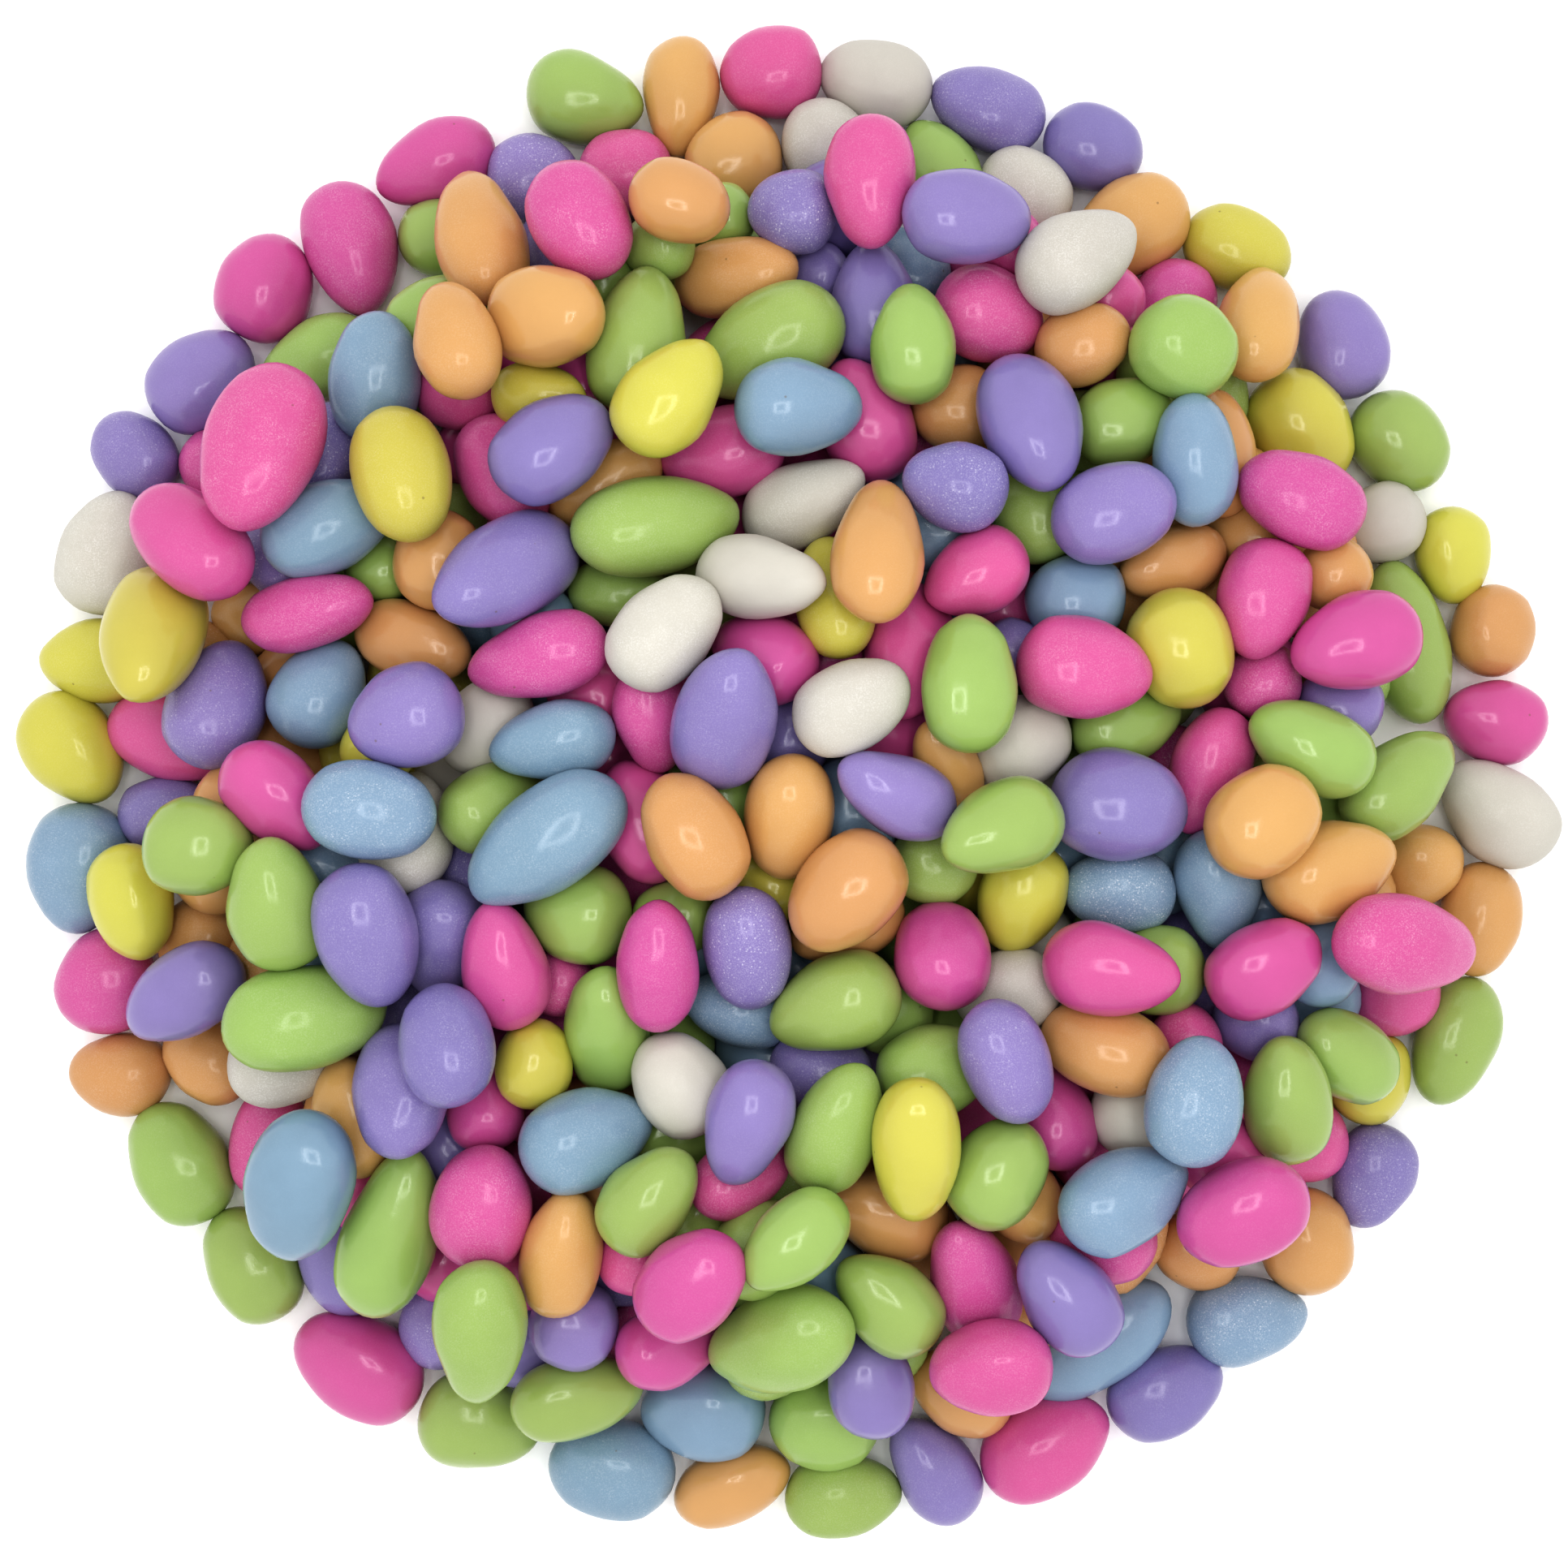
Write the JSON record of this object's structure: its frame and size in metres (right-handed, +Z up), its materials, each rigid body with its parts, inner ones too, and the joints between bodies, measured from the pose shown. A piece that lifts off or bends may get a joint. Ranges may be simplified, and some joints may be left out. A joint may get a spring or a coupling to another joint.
{
  "type": "heap of sugared almonds",
  "caption": "Low round heap of loose sugared almonds in mixed pastel colours, lying on a flat surface as a sweet to serve.",
  "frame": {"origin": "middle of the heap's flat base, on the surface that it lies on", "axes": "+Z up out of the surface; +Y and +X are the top and the right of the heap as seen from above"},
  "size_m": [0.2912, 0.292, 0.052],
  "materials": {
    "mixed_shells": "satin sugar shell in mixed colours, on the almonds deeper in the heap",
    "pink_shell": "satin sugar shell with fine pale crystals",
    "green_shell": "satin sugar shell with fine pale crystals",
    "violet_shell": "satin sugar shell with fine pale crystals",
    "orange_shell": "satin sugar shell with fine pale crystals",
    "yellow_shell": "satin sugar shell with fine pale crystals",
    "blue_shell": "satin sugar shell with fine pale crystals",
    "white_shell": "satin sugar shell"
  },
  "bodies": {
    "root": {"almond_heap": "mixed_shells"}
  },
  "joints": []
}
